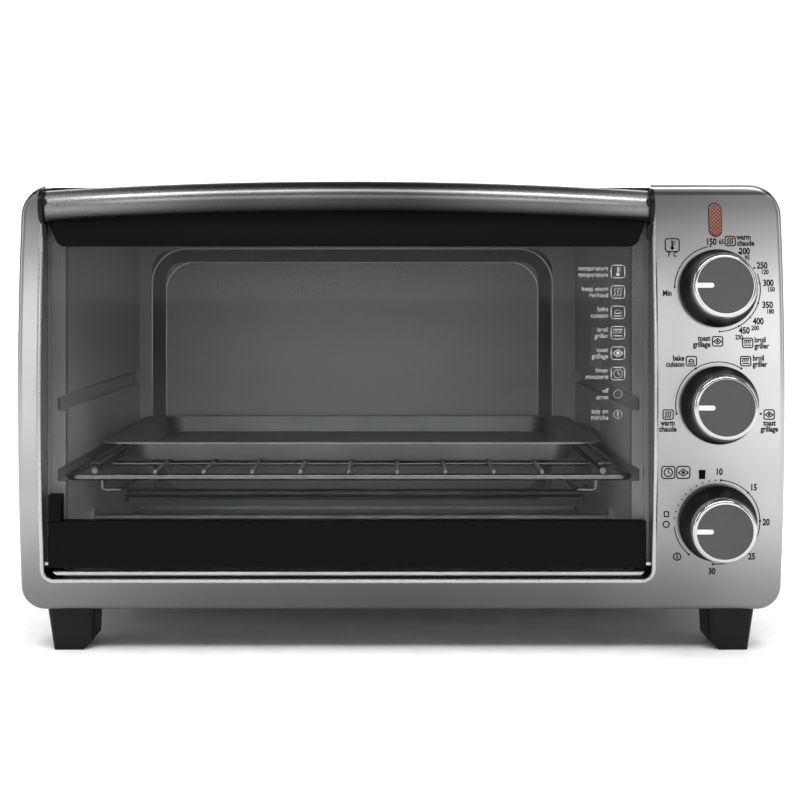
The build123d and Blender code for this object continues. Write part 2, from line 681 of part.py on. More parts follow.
CROSS_R = 1.6
with BuildPart() as rack_cross_wires:
    for y in (-70.0, 58.0):
        z = RACK_Z + FRAME_WIRE_R - CROSS_R
        inside = RACK_SIDE - FRAME_WIRE_R
        rod((CAV_MID_X - inside, y, z), (CAV_MID_X + inside, y, z), CROSS_R)
save(rack_cross_wires.part, "rack_cross_wires")

HOOK_R = 1.3
with BuildPart() as rack_hooks:
    for side in (-1, 1):
        outer, inner_x = CAV_MID_X + side * 158.5, CAV_MID_X + side * 146.5
        points = [
            (outer, RACK_FRONT_Y + 4.6, RACK_Z + 1),
            (outer, RACK_FRONT_Y + 4.6, 102.6),
            (inner_x, RACK_FRONT_Y + 4.6, 102.6),
            (inner_x - side * 4, RACK_FRONT_Y + 30, 106.5),
        ]
        with BuildLine() as hook_line:
            FilletPolyline(*points, radius=2.2)
        hook = hook_line.wires()[0]
        with BuildSketch(Plane(origin=hook @ 0, z_dir=hook % 0)):
            Circle(HOOK_R)
        sweep(path=hook)
save(rack_hooks.part, "rack_hooks")

# ---------------------------------------------------------------- baking pan
PAN_RIM = (CAV_MID_X - 169, CAV_MID_X + 169)
PAN_RIM_Y = (-96.0, 112.0)
PAN_FLANGE_X, PAN_FLANGE_Y = 17.0, 8.0
PAN_T = 0.9


def pan_outline(z, shrink):
    """Outline of the pan's well at one height."""
    width = PAN_RIM[1] - PAN_RIM[0] - 2 * PAN_FLANGE_X - 2 * shrink
    depth = PAN_RIM_Y[1] - PAN_RIM_Y[0] - 2 * PAN_FLANGE_Y - 2 * shrink
    with BuildSketch(Plane.XY.offset(z)) as outline:
        with Locations((CAV_MID_X, sum(PAN_RIM_Y) / 2)):
            RectangleRounded(width, depth, 14)
    return outline.sketch


with BuildPart() as baking_pan:
    with BuildSketch(Plane.XY.offset(PAN_RIM_Z - PAN_T)):
        with Locations((CAV_MID_X, sum(PAN_RIM_Y) / 2)):
            RectangleRounded(PAN_RIM[1] - PAN_RIM[0], PAN_RIM_Y[1] - PAN_RIM_Y[0], 16)
    extrude(amount=PAN_T)
    loft([pan_outline(PAN_Z, 3), pan_outline(PAN_RIM_Z - PAN_T, 0)])
    well = [pan_outline(PAN_Z + PAN_T, 3 + PAN_T), pan_outline(PAN_RIM_Z + 0.01, PAN_T)]
    loft(well, mode=Mode.SUBTRACT)
save(baking_pan.part, "baking_pan")

# ---------------------------------------------------------------- crumb tray
TRAY_X = (CAV_LEFT + 1.2, CAV_RIGHT - 1.2)
TRAY_Y = (-141.5, 134.0)
TRAY_T = 0.8

with BuildPart() as crumb_tray:
    box(TRAY_X, TRAY_Y, (TRAY_Z, TRAY_Z + TRAY_T))
    for x in (TRAY_X[0], TRAY_X[1] - TRAY_T):
        box((x, x + TRAY_T), TRAY_Y, (TRAY_Z, TRAY_WALL_TOP))
    box(TRAY_X, (TRAY_Y[1] - TRAY_T, TRAY_Y[1]), (TRAY_Z, TRAY_WALL_TOP))
    # Rolled front lip, wider than the tray, with slanted ends
    with BuildSketch(Plane.XZ.offset(-TRAY_Y[0])):
        with BuildLine():
            Polyline(
                (OPEN_LEFT + 5, TRAY_LIP_TOP),
                (OPEN_RIGHT - 4, TRAY_LIP_TOP),
                (OPEN_RIGHT - 7, 50.2),
                (OPEN_LEFT + 8, 50.2),
                close=True,
            )
        make_face()
    extrude(amount=7)
    fillet(crumb_tray.faces().sort_by(Axis.Y)[0].edges().filter_by(Axis.X), 1.2)
    box(TRAY_X, (TRAY_Y[0] - 0.5, TRAY_Y[0] + 0.5), (TRAY_Z, 51))
save(crumb_tray.part, "crumb_tray")

# ---------------------------------------------------------------- door
with BuildPart() as door_glass:
    box(GLASS_X, GLASS_Y, GLASS_Z)
    fillet(door_glass.edges().filter_by(Axis.Y).group_by(Axis.Z)[-1], 6)
    chamfer(door_glass.edges().filter_by(Axis.Z), 0.5)
save(door_glass.part, "door_glass")

with BuildPart() as door_bottom_rail:
    box((DOOR_LEFT, DOOR_RIGHT), (DOOR_FRONT_Y, DOOR_BACK_Y), (DOOR_BOTTOM, RAIL_TOP))
    chamfer(door_bottom_rail.faces().sort_by(Axis.Y)[0].edges(), 0.6)
    box(GLASS_X, GLASS_Y, (GLASS_Z[0], RAIL_TOP + 1), Mode.SUBTRACT)
    for x in (DOOR_LEFT - 1, DOOR_RIGHT - 8):
        rod((x, HINGE_Y, HINGE_Z), (x + 9, HINGE_Y, HINGE_Z), PIN_R, Mode.SUBTRACT)
save(door_bottom_rail.part, "door_bottom_rail")

with BuildPart() as door_top_rail:
    with BuildSketch(Plane.XZ.offset(-DOOR_BACK_Y)) as rail:
        with BuildLine():
            Polyline(
                (DOOR_LEFT, DOOR_TOP),
                (DOOR_LEFT, TOP_RAIL_BOTTOM + 16),
                (DOOR_LEFT + 6.5, TOP_RAIL_BOTTOM),
                (DOOR_RIGHT - 6.5, TOP_RAIL_BOTTOM),
                (DOOR_RIGHT, TOP_RAIL_BOTTOM + 16),
                (DOOR_RIGHT, DOOR_TOP),
                close=True,
            )
        make_face()
        fillet(rail.vertices().group_by(Axis.Y)[0], 6)
        fillet(rail.vertices().group_by(Axis.Y)[-1], 5)
    extrude(amount=DOOR_BACK_Y - DOOR_FRONT_Y)
    chamfer(door_top_rail.faces().sort_by(Axis.Y)[0].edges(), 0.6)
    box(GLASS_X, GLASS_Y, (TOP_RAIL_BOTTOM - 1, GLASS_Z[1]), Mode.SUBTRACT)
save(door_top_rail.part, "door_top_rail")

with BuildPart() as door_hinge_pins:
    rod((DOOR_LEFT - 7.5, HINGE_Y, HINGE_Z), (DOOR_LEFT + 8, HINGE_Y, HINGE_Z), PIN_R)
    rod((DOOR_RIGHT - 8, HINGE_Y, HINGE_Z), (DOOR_RIGHT + 8.5, HINGE_Y, HINGE_Z), PIN_R)
save(door_hinge_pins.part, "door_hinge_pins")

with BuildPart() as hinge_brackets:
    for near, far in ((OPEN_LEFT - PANEL_T - 0.2, -230.8), (OPEN_RIGHT + PANEL_T + 0.2, 163.4)):
        box(sorted((near, far)), (-148.3, -126.0), (55.6, 70.0))
    rod((-240, HINGE_Y, HINGE_Z), (200, HINGE_Y, HINGE_Z), PIN_R + PIN_CLEARANCE, Mode.SUBTRACT)
save(hinge_brackets.part, "hinge_brackets")

CLIP_X, CLIP_Z = (-222.7, -214.8), (RAIL_TOP, 101.4)
with BuildPart() as door_arm_bracket:
    box(CLIP_X, (DOOR_FRONT_Y - 0.4, DOOR_BACK_Y), CLIP_Z)
    box((GLASS_X[0], 0), GLASS_Y, (CLIP_Z[0] - 1, CLIP_Z[1] + 1), Mode.SUBTRACT)
save(door_arm_bracket.part, "door_arm_bracket")

ARM_R, ARM_HALF, ARM_END = 35.0, 4.0, -20.0
ARM_X = (-219.6, -218.0)
with BuildPart() as door_arm:
    with BuildSketch(Plane.YZ.offset(ARM_X[0])):
        with Locations((HINGE_Y, HINGE_Z)):
            Circle(ARM_R + ARM_HALF)
            Circle(ARM_R - ARM_HALF, mode=Mode.SUBTRACT)
        with BuildLine():
            reach = 60
            Polyline(
                (DOOR_BACK_Y, HINGE_Z),
                (DOOR_BACK_Y, HINGE_Z + reach),
                (HINGE_Y + reach, HINGE_Z + reach),
                (HINGE_Y + reach * cos(radians(ARM_END)), HINGE_Z + reach * sin(radians(ARM_END))),
                (HINGE_Y, HINGE_Z),
                close=True,
            )
        make_face(mode=Mode.INTERSECT)
    extrude(amount=ARM_X[1] - ARM_X[0])
    hook_turn = radians(ARM_END + 5)
    hook_spot = (HINGE_Y + ARM_R * cos(hook_turn), HINGE_Z + ARM_R * sin(hook_turn))
    rod((ARM_X[0] - 1, *hook_spot), (ARM_X[1] + 1, *hook_spot), 1.5, Mode.SUBTRACT)
save(door_arm.part, "door_arm")

SPRING_R, SPRING_WIRE_R, SPRING_TURNS = 2.5, 0.5, 16
SPRING_Y = (hook_spot[0] + 9, -25.0)
with BuildPart() as door_spring:
    spring_x = (ARM_X[0] + ARM_X[1]) / 2
    length = SPRING_Y[1] - SPRING_Y[0]
    start = (spring_x, SPRING_Y[0], hook_spot[1])
    with BuildLine() as coil:
        Helix(length / SPRING_TURNS, length, SPRING_R, center=start, direction=(0, 1, 0))
    turns = coil.wires()[0]
    with BuildSketch(Plane(origin=turns @ 0, z_dir=turns % 0)):
        Circle(SPRING_WIRE_R)
    sweep(path=turns, is_frenet=True)
save(door_spring.part, "door_spring")

# ---------------------------------------------------------------- handle
HANDLE_END_X = DOOR_RIGHT - DOOR_MID_X
HANDLE_MID_Z, HANDLE_RISE, HANDLE_BOW = 288.0, 4.6, 24.0
COVER_SAG, COVER_HALF, COVER_T = 7.0, 9.7, 1.2
lean = Vector(0, -HANDLE_BOW, HANDLE_RISE).normalized()
HANDLE_MID_Y = -DEPTH / 2 + COVER_SAG
HANDLE_END_Y = HANDLE_MID_Y + HANDLE_BOW
HANDLE_END_Z = HANDLE_MID_Z - HANDLE_RISE
TAB_Z, TAB_R = HANDLE_END_Z + 2.0, 2.8
TAB_Y = (HANDLE_END_Y - COVER_SAG - 1.5, HANDLE_END_Y - 3.5)


def trim_handle_ends():
    """Cuts both ends of the handle off square and makes room there for the end caps' tabs."""
    for outward in (-1, 1):
        edge = DOOR_MID_X + outward * HANDLE_END_X
        box(sorted((edge, edge + outward * 20)), (-DEPTH, DOOR_FRONT_Y), (200, 400), Mode.SUBTRACT)
        rod((edge, TAB_Y[0], TAB_Z), (edge, TAB_Y[1] + 0.2, TAB_Z), TAB_R + 0.2, Mode.SUBTRACT)


with BuildPart() as handle_cover:
    with BuildLine() as handle_line:
        reach = HANDLE_END_X + 2
        ThreePointArc(
            (DOOR_MID_X - reach, HANDLE_MID_Y + HANDLE_BOW, HANDLE_MID_Z - HANDLE_RISE),
            (DOOR_MID_X, HANDLE_MID_Y, HANDLE_MID_Z),
            (DOOR_MID_X + reach, HANDLE_MID_Y + HANDLE_BOW, HANDLE_MID_Z - HANDLE_RISE),
        )
    handle_path = handle_line.wires()[0]
    along = handle_path % 0
    forward = (lean - along * lean.dot(along)).normalized()
    section = Plane(origin=handle_path @ 0, x_dir=forward, z_dir=along)
    with BuildSketch(section):
        with BuildLine():
            front = ThreePointArc((0, -COVER_HALF), (COVER_SAG, 0), (0, COVER_HALF))
            back = ThreePointArc(
                (0, COVER_HALF - COVER_T), (COVER_SAG - COVER_T, 0), (0, COVER_T - COVER_HALF)
            )
            Line(front @ 1, back @ 0)
            Line(back @ 1, front @ 0)
        make_face()
    sweep(path=handle_path)
    trim_handle_ends()
save(handle_cover.part, "handle_cover")

with BuildPart() as handle_core:
    with BuildSketch(section):
        with BuildLine():
            inner_arc = ThreePointArc(
                (0, COVER_T - COVER_HALF), (COVER_SAG - COVER_T, 0), (0, COVER_HALF - COVER_T)
            )
            Polyline(inner_arc @ 1, (-1, COVER_HALF - COVER_T), (-4.5, COVER_HALF - 4))
            ThreePointArc((-4.5, COVER_HALF - 4), (-3.2, 0), (-4.5, 4 - COVER_HALF))
            Polyline((-4.5, 4 - COVER_HALF), (-1, COVER_T - COVER_HALF), inner_arc @ 0)
        make_face()
    sweep(path=handle_path)
    trim_handle_ends()
save(handle_core.part, "handle_core")


def end_cap(edge, outward):
    """Black cap over one end of the handle, sweeping down onto the top rail."""
    start_x = edge + outward * 0.15
    with BuildPart() as cap_block:
        with BuildSketch(Plane.YZ.offset(start_x)):
            with Locations((HANDLE_END_Y, HANDLE_END_Z)):
                Ellipse(COVER_SAG + 3.4, COVER_HALF + 1.6)
            with BuildLine():
                Polyline(
                    (HANDLE_END_Y, HANDLE_END_Z + COVER_HALF + 1.0),
                    (DOOR_FRONT_Y, HANDLE_END_Z + COVER_HALF - 3),
                    (DOOR_FRONT_Y, TOP_RAIL_BOTTOM + 4),
                    (HANDLE_END_Y, HANDLE_END_Z - COVER_HALF),
                    close=True,
                )
            make_face()
            with Locations((DOOR_FRONT_Y + 20, HANDLE_END_Z)):
                Rectangle(40, 80, mode=Mode.SUBTRACT)
        extrude(amount=outward * 2.3)
        # Round-ended tab that locks into the notch at the end of the cover
        rod((edge, TAB_Y[0], TAB_Z), (edge, TAB_Y[1], TAB_Z), TAB_R)
    return cap_block.part


with BuildPart() as handle_end_caps:
    add(end_cap(DOOR_MID_X - HANDLE_END_X, -1))
    add(end_cap(DOOR_MID_X + HANDLE_END_X, 1))
save(handle_end_caps.part, "handle_end_caps")

with BuildPart() as door_screws:
    for x in (DOOR_LEFT + 8, DOOR_RIGHT - 8):
        for z in (272.0, 284.0):
            rod((x, DOOR_BACK_Y, z), (x, DOOR_BACK_Y + 1.6, z), 3.2)
    for x in (DOOR_MID_X - 120, DOOR_MID_X, DOOR_MID_X + 120):
        rod((x, DOOR_BACK_Y, 72), (x, DOOR_BACK_Y + 1.6, 72), 3.2)
save(door_screws.part, "door_screws")
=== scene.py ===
"""Looks of a countertop toaster oven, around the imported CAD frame. Metres, front towards -Y."""

import json
from math import cos, pi, radians, sin, sqrt

import bmesh
import bpy
from mathutils import Matrix, Vector


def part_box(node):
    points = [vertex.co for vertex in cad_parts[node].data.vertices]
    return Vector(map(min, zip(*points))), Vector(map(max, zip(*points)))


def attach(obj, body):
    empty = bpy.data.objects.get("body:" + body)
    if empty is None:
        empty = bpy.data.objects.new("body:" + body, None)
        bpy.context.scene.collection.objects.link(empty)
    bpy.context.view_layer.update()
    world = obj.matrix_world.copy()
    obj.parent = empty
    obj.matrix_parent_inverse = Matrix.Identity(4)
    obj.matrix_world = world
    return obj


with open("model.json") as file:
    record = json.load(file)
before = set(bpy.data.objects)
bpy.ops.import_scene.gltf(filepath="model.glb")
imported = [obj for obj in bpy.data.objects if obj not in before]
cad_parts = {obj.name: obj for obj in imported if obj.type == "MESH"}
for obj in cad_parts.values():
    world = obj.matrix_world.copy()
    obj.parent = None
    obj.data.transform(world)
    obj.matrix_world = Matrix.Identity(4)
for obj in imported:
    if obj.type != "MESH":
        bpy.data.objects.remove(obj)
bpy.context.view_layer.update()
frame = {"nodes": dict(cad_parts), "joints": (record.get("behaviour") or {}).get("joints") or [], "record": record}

MM = 0.001

# ---------------------------------------------------------------- sizes taken from the frame
PANEL_LOW, PANEL_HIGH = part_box("front_panel")
PANEL_MID_Z = (PANEL_LOW.z + PANEL_HIGH.z) / 2
PANEL_R = 726 * MM  # the panel bulges forward as an arc over its height
PANEL_CENTRE_Y = PANEL_LOW.y + PANEL_R
GLASS_LOW, GLASS_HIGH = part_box("door_glass")
JOINTS = {joint["name"]: joint for joint in frame["joints"]}

# ---------------------------------------------------------------- sizes of the visible detail
# The bowed band of painted shade and painted highlight on the handle follows these sizes.
HANDLE_DROOP = 0.09  # per metre: how the bowed handle falls away to its ends
HANDLE_LIP, HANDLE_CROWN = 19.8 * MM, 0.4 * MM  # below the cover's highest point, at mid-span
LINER_SHADE_Z = (0.05, 0.28)  # painted shade: the liner sheet darkens between these heights
LINER_FLANGE_SHADE_Y = (-0.137, -0.128)  # and painted shade also darkens it forward of these depths

OPENING_LEFT, OPENING_RIGHT, OPENING_BOTTOM = -225.6 * MM, 158.2 * MM, 48.2 * MM
RIM_R, RIM_CORNER = 1.5 * MM, 6 * MM
RIM_SUNK, RIM_CLEAR = 0.4, 0.9  # in radii: its centre behind the panel's face, and off the edge
RIM_TOP_GAP, RIM_STEP, RIM_STEPS = 10 * MM, 20 * MM, 11  # how its sides are divided
RIM_SIDES = 8

BEND_R = 0.55 * MM
BEND_RISE = 0.8 * BEND_R
# Each painted highlight line along a pressed bend of the liner's back: left, right, bottom, top, corner radius,
# depth.
BEND_HIGHLIGHTS = {
    "back_bend_outer": (-0.204, 0.1283, 0.056, 0.2646, 0.028, 0.1419),
    "back_bend_inner": (-0.196, 0.119, 0.061, 0.254, 0.024, 0.1669),
}

INK_LIFT = 0.06 * MM
JOIN_OVERLAP = 0.6  # in half-widths: how far each part of a stroke runs past its ends
ICON_UNITS = 8.6  # a pictogram is drawn on a grid this many units wide
ICON = ICON_UNITS * MM
HAIR = 0.75 * MM
SCALE_R = 26.9 * MM  # radius of the dials' printed scales
SCALE_LINE = 0.6 * MM
FIGURE, CELSIUS, WORD = 5.6, 4.0, 4.8  # print sizes on the panel, in millimetres
LINE_PITCH = 0.8  # in print sizes: from one line of words to the next

# The guide on the glass: its column from the pane's right and top edges, and its rows.
GUIDE_IN, GUIDE_DOWN, GUIDE_PITCH = 16.5 * MM, 21.4 * MM, 12.9 * MM
GUIDE_STROKE, GUIDE_GAP = 0.5 * MM, 6.0 * MM
GUIDE_WORD, GUIDE_LINE_UP, GUIDE_LINE_PITCH = 4.4 * MM, 2.0, 4.0
GUIDE_WEIGHT, GUIDE_SQUEEZE = -0.004, 0.85

BLOTCHES, CLOUDS = 22, 35  # faint unevenness of metals and of plastics, in features per metre

# ---------------------------------------------------------------- studio
# Each softbox: name, place, what it faces, width, depth, watts, whether metal mirrors it.
SOFTBOXES = (
    ("front_softbox", (0, -2.6, 0.55), (0, 0, 0.2), 3.4, 0.7, 17, True),
    ("high_softbox", (0, -1.5, 1.9), (0, -0.1, 0.2), 2.8, 0.5, 26, True),
    ("left_softbox", (-2.3, -0.8, 0.9), (0, 0, 0.15), 0.5, 1.6, 8, True),
    ("right_softbox", (2.3, -0.8, 0.9), (0, 0, 0.15), 0.5, 1.6, 8, True),
    ("top_fill", (0, -0.5, 2.4), (0, 0, 0), 3.2, 3.0, 95, False),
    ("backdrop_wash", (0, 0.9, 2.0), (0, 2.3, 0.7), 3.0, 0.8, 60, False),
)
WORLD_GREY = (0.2, 0.2, 0.202, 1)
FLOOR_HALF_WIDTH, FLOOR_FRONT, FLOOR_BACK = 5.0, -4.0, 2.4
BACKDROP_HEIGHT, BACKDROP_SWEEP = 3.2, 0.9
CAMERA_PLACE = (-8.8 * MM, PANEL_LOW.y - 0.915, 0.2322)
CAMERA_LENS, CAMERA_SENSOR = 65.8, 36
CAMERA_SHIFT = (0.016, -0.14)


def panel_y(z):
    """Where the panel's curved face lies at a height."""
    return PANEL_CENTRE_Y - sqrt(PANEL_R**2 - (z - PANEL_MID_Z) ** 2)


# ---------------------------------------------------------------- materials
class Shader:
    """A node material around one Principled shader, with detail laid out in object space."""

    def __init__(self, name, colour, roughness, metallic=0.0, specular=0.5):
        self.material = bpy.data.materials.new(name)
        self.material.use_nodes = True
        self.nodes = self.material.node_tree.nodes
        self.links = self.material.node_tree.links
        self.inputs = self.nodes["Principled BSDF"].inputs
        self.inputs["Base Color"].default_value = (*colour, 1)
        self.inputs["Roughness"].default_value = roughness
        self.inputs["Metallic"].default_value = metallic
        self.inputs["Specular IOR Level"].default_value = specular
        self.place = self.nodes.new("ShaderNodeTexCoord").outputs["Object"]

    def noise(self, scale, stretch=(1, 1, 1), detail=3):
        """Noise with `scale` features per metre, squeezed or stretched along the axes."""
        mapping = self.nodes.new("ShaderNodeMapping")
        mapping.inputs["Scale"].default_value = stretch
        self.links.new(self.place, mapping.inputs["Vector"])
        noise = self.nodes.new("ShaderNodeTexNoise")
        noise.inputs["Scale"].default_value = scale
        noise.inputs["Detail"].default_value = detail
        noise.inputs["Roughness"].default_value = 0.55
        self.links.new(mapping.outputs["Vector"], noise.inputs["Vector"])
        return noise.outputs["Fac"]

    def along(self, axis="Z"):
        """How far a point of the surface lies along an axis."""
        split = self.nodes.new("ShaderNodeSeparateXYZ")
        self.links.new(self.place, split.inputs["Vector"])
        return split.outputs[axis]

    def math(self, operation, first, second):
        """One operation on two values; the second may be a plain number."""
        node = self.nodes.new("ShaderNodeMath")
        node.operation = operation
        self.links.new(first, node.inputs[0])
        if isinstance(second, (int, float)):
            node.inputs[1].default_value = second
        else:
            self.links.new(second, node.inputs[1])
        return node.outputs[0]

    def spread(self, value, low, high, start=0.3, end=0.7):
        """Maps a value that runs from `start` to `end` onto a range from `low` to `high`."""
        node = self.nodes.new("ShaderNodeMapRange")
        numbers = {"From Min": start, "From Max": end, "To Min": low, "To Max": high}
        for socket, number in numbers.items():
            node.inputs[socket].default_value = number
        self.links.new(value, node.inputs["Value"])
        return node.outputs["Result"]

    def toned(self, value, start, end, tones):
        """A smooth run of greys along a value; `tones` pairs a place from 0 to 1 with a grey."""
        ramp = self.nodes.new("ShaderNodeValToRGB")
        ramp.color_ramp.interpolation = "EASE"
        stops = ramp.color_ramp.elements
        elements = [stops[0], stops[1]] + [stops.new(0.5) for _ in tones[2:]]
        for element, (place, tone) in zip(elements, tones):
            element.position = place
            element.color = (tone, tone, tone, 1)
        self.links.new(self.spread(value, 0, 1, start, end), ramp.inputs["Fac"])
        return ramp.outputs["Color"]

    def multiplied(self, first, second):
        """Two colours multiplied."""
        mix = self.nodes.new("ShaderNodeMix")
        mix.data_type = "RGBA"
        mix.blend_type = "MULTIPLY"
        mix.inputs["Factor"].default_value = 1
        self.links.new(first, mix.inputs["A"])
        self.links.new(second, mix.inputs["B"])
        return mix.outputs["Result"]

    def blended(self, value, dark, light, start=0.3, end=0.7):
        """A colour that runs from dark to light with a value."""
        mix = self.nodes.new("ShaderNodeMix")
        mix.data_type = "RGBA"
        mix.inputs["A"].default_value = (*dark, 1)
        mix.inputs["B"].default_value = (*light, 1)
        self.links.new(self.spread(value, 0, 1, start, end), mix.inputs["Factor"])
        return mix.outputs["Result"]

    def colour(self, value):
        """Uses a colour as the surface's own."""
        self.links.new(value, self.inputs["Base Color"])

    def roughness(self, value, low, high):
        """Lets the roughness wander between two bounds."""
        self.links.new(self.spread(value, low, high), self.inputs["Roughness"])

    def bump(self, value, strength, distance):
        """Raises the surface with a value."""
        node = self.nodes.new("ShaderNodeBump")
        node.inputs["Strength"].default_value = strength
        node.inputs["Distance"].default_value = distance
        self.links.new(value, node.inputs["Height"])
        self.links.new(node.outputs["Normal"], self.inputs["Normal"])


def grey(tone):
    """A neutral colour."""
    return (tone, tone, tone)


def scaled(colour, factor):
    """A colour made lighter or darker."""
    return tuple(channel * factor for channel in colour)


def metal(name, colour, roughness, grain=(1, 1, 1), grain_scale=900, depth=0.02, mottle=0.1):
    """Metal with a grain that runs where `grain` is small, and faint blotches."""
    shader = Shader(name, colour, roughness, 1.0)
    lines = shader.noise(grain_scale, grain, 4)
    blotches = shader.noise(BLOTCHES)
    shader.roughness(lines, roughness * 0.8, roughness * 1.25)
    shader.colour(shader.blended(blotches, scaled(colour, 1 - mottle), scaled(colour, 1 + mottle)))
    shader.bump(lines, depth, 0.08 * MM)
    return shader.material


def moulded(name, colour, roughness, grain_scale=2600, depth=0.12, specular=0.5):
    """Plastic, enamel, paint or ink with a fine even grain."""
    shader = Shader(name, colour, roughness, 0.0, specular)
    grain = shader.noise(grain_scale, detail=2)
    clouds = shader.noise(CLOUDS)
    shader.roughness(clouds, roughness * 0.95, roughness * 1.05)
    shader.colour(shader.blended(clouds, scaled(colour, 0.94), scaled(colour, 1.06)))
    shader.bump(grain, depth, 0.06 * MM)
    return shader.material


def stainless_panel():
    """Satin stainless with painted shade and painted reflection in its colour: darker where the bulge turns away
    and along its rolled top, lighter towards its side edges.
    """
    shader = Shader("stainless_panel", grey(0.6), 0.3, 1.0)
    grain = shader.noise(2400, (0.03, 1, 1), 4)
    shader.roughness(grain, 0.29, 0.33)
    shader.bump(grain, 0.004, 0.02 * MM)
    # Painted shade by height: darkest low down, lightest near the middle, and a dark painted band along the rolled
    # top.
    rise = ((0.0, 0.15), (0.12, 0.18), (0.28, 0.32), (0.5, 0.44))
    rise += ((0.72, 0.4), (0.88, 0.33), (0.972, 0.24), (0.978, 0.06))
    # Painted reflection across the width: lighter towards both side edges, darker in the middle.
    across = ((0.0, 1.0), (0.12, 0.78), (0.3, 0.58), (0.5, 0.5))
    across += ((0.7, 0.6), (0.84, 0.86), (1.0, 1.25))
    up = shader.toned(shader.along("Z"), PANEL_LOW.z, PANEL_HIGH.z, rise)
    sweep = shader.toned(shader.along("X"), PANEL_LOW.x, PANEL_HIGH.x, across)
    shader.colour(shader.multiplied(up, sweep))
    return shader.material


def handle_steel():
    """Satin stainless with painted shade and a painted highlight in its colour, following the bowed handle from
    its dark lower lip to a bright band below its crown, lighter at both ends.
    """
    shader = Shader("brushed_handle", grey(0.5), 0.28, 1.0)
    grain = shader.noise(2200, (0.015, 1, 1), 4)
    shader.roughness(grain, 0.26, 0.31)
    shader.bump(grain, 0.004, 0.02 * MM)
    low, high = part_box("handle_cover")
    offset = shader.math("SUBTRACT", shader.along("X"), (low.x + high.x) / 2)
    droop = shader.math("MULTIPLY", shader.math("MULTIPLY", offset, offset), HANDLE_DROOP)
    level = shader.math("ADD", shader.along("Z"), droop)
    # Painted shade and painted highlight by height: near black at the lip, brightest just below the crown.
    rise = ((0.0, 0.02), (0.18, 0.06), (0.38, 0.2), (0.58, 0.7))
    rise += ((0.72, 0.85), (0.86, 0.34), (1.0, 0.2))
    # Painted highlight towards both ends, darker in the middle of the handle.
    across = ((0.0, 1.0), (0.12, 0.64), (0.34, 0.26), (0.58, 0.17), (0.84, 0.52), (1.0, 1.0))
    up = shader.toned(level, high.z - HANDLE_LIP, high.z - HANDLE_CROWN, rise)
    sweep = shader.toned(shader.along("X"), low.x, high.x, across)
    shader.colour(shader.multiplied(up, sweep))
    return shader.material


def galvanised(name, base, metallic):
    """Dull zinc-coated sheet with a fine spangle; painted shade darkens it high up and on its front flange."""
    shader = Shader(name, base, 0.5, metallic)
    voronoi = shader.nodes.new("ShaderNodeTexVoronoi")
    voronoi.inputs["Scale"].default_value = 240
    shader.links.new(shader.place, voronoi.inputs["Vector"])
    spangle = voronoi.outputs["Distance"]
    shader.roughness(spangle, 0.46, 0.5)
    sheet = shader.blended(spangle, scaled(base, 0.98), scaled(base, 1.03), 0.1, 0.9)
    # Painted shade: the sheet's colour darkens with height and towards its front flange.
    painted_shade_tones = ((0.0, 1.0), (0.45, 1.0), (0.75, 0.5), (1.0, 0.38))
    painted_shade_high = shader.toned(shader.along("Z"), *LINER_SHADE_Z, painted_shade_tones)
    flange = shader.toned(shader.along("Y"), *LINER_FLANGE_SHADE_Y, ((0.0, 0.3), (1.0, 1.0)))
    shader.colour(shader.multiplied(shader.multiplied(sheet, painted_shade_high), flange))
    shader.bump(shader.noise(500, (0.15, 0.15, 1)), 0.02, 0.04 * MM)
    return shader.material


def lens():
    """Amber-red plastic with a fine diamond pattern."""
    shader = Shader("indicator_amber", (0.14, 0.052, 0.036), 0.3, specular=0.2)
    ridges = []
    for turn in (45, -45):
        mapping = shader.nodes.new("ShaderNodeMapping")
        mapping.inputs["Rotation"].default_value = (0, radians(turn), 0)
        shader.links.new(shader.place, mapping.inputs["Vector"])
        wave = shader.nodes.new("ShaderNodeTexWave")
        wave.wave_profile = "TRI"
        wave.inputs["Scale"].default_value = 190
        shader.links.new(mapping.outputs["Vector"], wave.inputs["Vector"])
        ridges.append(wave.outputs["Fac"])
    diamonds = shader.math("MULTIPLY", *ridges)
    shader.colour(shader.blended(diamonds, (0.035, 0.012, 0.009), (0.3, 0.12, 0.085), 0, 0.6))
    shader.bump(diamonds, 0.5, 0.4 * MM)
    return shader.material


def clear_glass():
    """Thin pane: lets light straight through and mirrors a little more at a glancing view."""
    material = bpy.data.materials.new("door_glass_clear")
    material.use_nodes = True
    nodes, links = material.node_tree.nodes, material.node_tree.links
    nodes.clear()
    clear = nodes.new("ShaderNodeBsdfTransparent")
    clear.inputs["Color"].default_value = (0.9, 0.91, 0.91, 1)
    smudge = nodes.new("ShaderNodeTexNoise")
    smudge.inputs["Scale"].default_value = 30
    spread = nodes.new("ShaderNodeMapRange")
    spread.inputs["To Min"].default_value = 0.015
    spread.inputs["To Max"].default_value = 0.06
    gloss = nodes.new("ShaderNodeBsdfGlossy")
    edge = nodes.new("ShaderNodeFresnel")
    edge.inputs["IOR"].default_value = 1.16
    mix = nodes.new("ShaderNodeMixShader")
    output = nodes.new("ShaderNodeOutputMaterial")
    links.new(smudge.outputs["Fac"], spread.inputs["Value"])
    links.new(spread.outputs["Result"], gloss.inputs["Roughness"])
    links.new(edge.outputs["Fac"], mix.inputs["Fac"])
    links.new(clear.outputs["BSDF"], mix.inputs[1])
    links.new(gloss.outputs["BSDF"], mix.inputs[2])
    links.new(mix.outputs["Shader"], output.inputs["Surface"])
    return material


